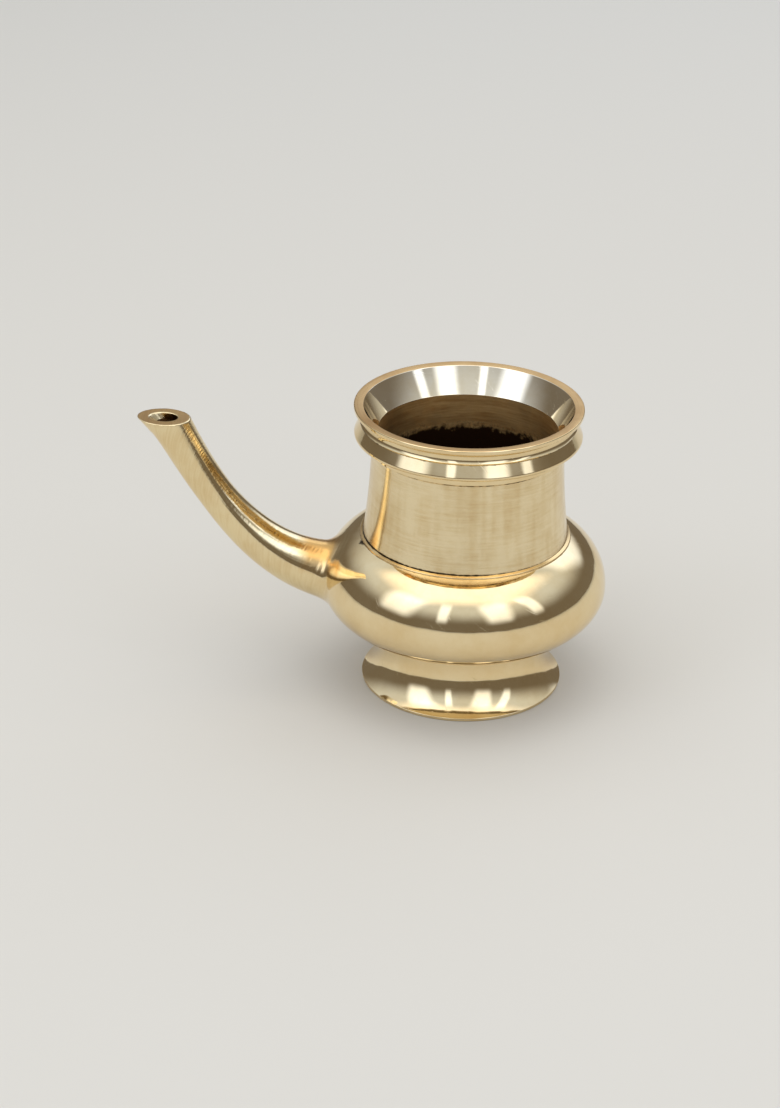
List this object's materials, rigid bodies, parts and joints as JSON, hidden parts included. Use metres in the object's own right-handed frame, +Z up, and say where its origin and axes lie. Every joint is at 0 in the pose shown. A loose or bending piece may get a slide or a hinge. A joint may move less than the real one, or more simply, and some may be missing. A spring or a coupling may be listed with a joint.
{
  "type": "spouted water vessel",
  "caption": "Small brass pouring vessel with a wide lipped mouth, straight neck, squat round belly, flared hollow foot and a long upturned spout.",
  "frame": {"origin": "under the middle of the vessel's overall length, on the surface that the foot stands on", "axes": "+Z up through the mouth, +X away from the spout, so the spout points along -X and the mirror plane is XZ"},
  "size_m": [0.1407, 0.086, 0.09],
  "materials": {
    "polished_brass": "polished",
    "turned_brass": "satin, lathe turned",
    "spout_brass": "hand filed and polished",
    "braze": "filed filler metal"
  },
  "bodies": {
    "root": {"foot_ring": "polished_brass", "bowl_shell": "polished_brass", "shoulder_shell": "polished_brass", "neck_tube": "turned_brass", "mouth_ring": "polished_brass", "spout_pipe": "spout_brass", "rim_braze": "braze", "neck_braze": "braze", "belly_braze": "braze", "foot_braze": "braze", "spout_braze": "braze"}
  },
  "joints": []
}
